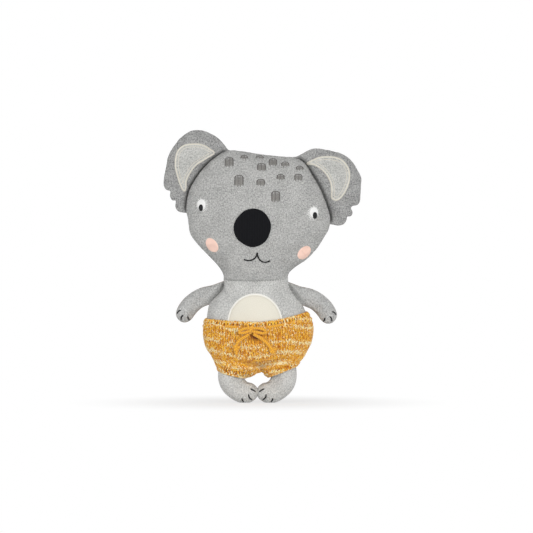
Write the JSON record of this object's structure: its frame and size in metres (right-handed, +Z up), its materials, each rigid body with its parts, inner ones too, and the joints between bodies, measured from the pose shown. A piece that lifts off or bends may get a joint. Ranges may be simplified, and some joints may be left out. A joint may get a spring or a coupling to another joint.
{
  "type": "plush koala",
  "caption": "Soft stuffed koala of grey marl knit, with round ears, an embroidered face, a pale belly patch and mustard knitted drawstring shorts; head, ears, arms and legs bend at their seams.",
  "frame": {"origin": "on the ground, under the middle of the toy", "axes": "+Z up, the face looks along -Y, the toy's own left is +X"},
  "size_m": [0.2289, 0.0787, 0.321],
  "materials": {
    "grey_knit": "matte",
    "pale_knit": "matte",
    "dark_knit": "matte",
    "mustard_knit": "matte",
    "mustard_cord": "matte",
    "cream_felt": "matte",
    "black_felt": "matte",
    "cream_thread": "matte",
    "white_thread": "matte",
    "black_thread": "matte",
    "pink_thread": "matte",
    "fibre": "matte"
  },
  "bodies": {
    "torso": {"torso_front_panel": "grey_knit", "torso_back_panel": "grey_knit", "torso_filling": "fibre", "belly_patch": "cream_felt", "belly_edging": "white_thread", "shorts_seat": "mustard_knit", "waistband": "mustard_knit", "drawstring_run": "mustard_cord", "drawstring_bow": "mustard_cord", "drawstring_tail_right": "mustard_cord", "drawstring_tail_left": "mustard_cord"},
    "head": {"head_front_panel": "grey_knit", "head_back_panel": "grey_knit", "head_filling": "fibre", "nose_patch": "black_felt", "eye_white_right": "white_thread", "eye_white_left": "white_thread", "pupil_right": "black_thread", "pupil_left": "black_thread", "cheek_right": "pink_thread", "cheek_left": "pink_thread", "mouth_stitch": "black_thread"},
    "ear_right": {"ear_right_front_panel": "dark_knit", "ear_right_back_panel": "dark_knit", "ear_right_filling": "fibre", "ear_lining_right": "pale_knit", "ear_edging_right": "cream_thread"},
    "ear_left": {"ear_left_front_panel": "dark_knit", "ear_left_back_panel": "dark_knit", "ear_left_filling": "fibre", "ear_lining_left": "pale_knit", "ear_edging_left": "cream_thread"},
    "arm_right": {"arm_right_front_panel": "grey_knit", "arm_right_back_panel": "grey_knit", "arm_right_filling": "fibre", "arm_right_claw_1": "black_thread", "arm_right_claw_2": "black_thread", "arm_right_claw_3": "black_thread"},
    "arm_left": {"arm_left_front_panel": "grey_knit", "arm_left_back_panel": "grey_knit", "arm_left_filling": "fibre", "arm_left_claw_1": "black_thread", "arm_left_claw_2": "black_thread", "arm_left_claw_3": "black_thread"},
    "leg_right": {"leg_right_front_panel": "grey_knit", "leg_right_back_panel": "grey_knit", "leg_right_filling": "fibre", "leg_right_claw_1": "black_thread", "leg_right_claw_2": "black_thread", "leg_right_claw_3": "black_thread", "cuff_right": "mustard_knit"},
    "leg_left": {"leg_left_front_panel": "grey_knit", "leg_left_back_panel": "grey_knit", "leg_left_filling": "fibre", "leg_left_claw_1": "black_thread", "leg_left_claw_2": "black_thread", "leg_left_claw_3": "black_thread", "cuff_left": "mustard_knit"}
  },
  "joints": [
    {"name": "neck_nod", "type": "hinge", "parent": "torso", "child": "head", "pos_m": [-0.0034, 0, 0.1445], "axis": [1, 0, 0], "range_deg": [-10, 10]},
    {"name": "arm_right_swing", "type": "hinge", "parent": "torso", "child": "arm_right", "pos_m": [-0.0523, 0, 0.1295], "axis": [0.5616, 0, 0.8274], "range_deg": [-45, 60]},
    {"name": "arm_left_swing", "type": "hinge", "parent": "torso", "child": "arm_left", "pos_m": [0.0447, 0, 0.1295], "axis": [0.5193, 0, -0.8546], "range_deg": [-45, 60]},
    {"name": "leg_right_swing", "type": "hinge", "parent": "torso", "child": "leg_right", "pos_m": [-0.0302, 0, 0.0485], "axis": [-1, 0, 0], "range_deg": [-30, 65], "deforming": ["shorts_seat"]},
    {"name": "leg_left_swing", "type": "hinge", "parent": "torso", "child": "leg_left", "pos_m": [0.0264, 0, 0.0485], "axis": [-1, 0, 0], "range_deg": [-30, 65], "deforming": ["shorts_seat"]},
    {"name": "ear_right_fold", "type": "hinge", "parent": "head", "child": "ear_right", "pos_m": [-0.0732, 0, 0.2699], "axis": [0.5777, 0, 0.8162], "range_deg": [-60, 60], "stiffness_Nm_per_rad": 0.03},
    {"name": "ear_left_fold", "type": "hinge", "parent": "head", "child": "ear_left", "pos_m": [0.0758, 0, 0.257], "axis": [0.4743, 0, -0.8804], "range_deg": [-60, 60], "stiffness_Nm_per_rad": 0.03}
  ]
}
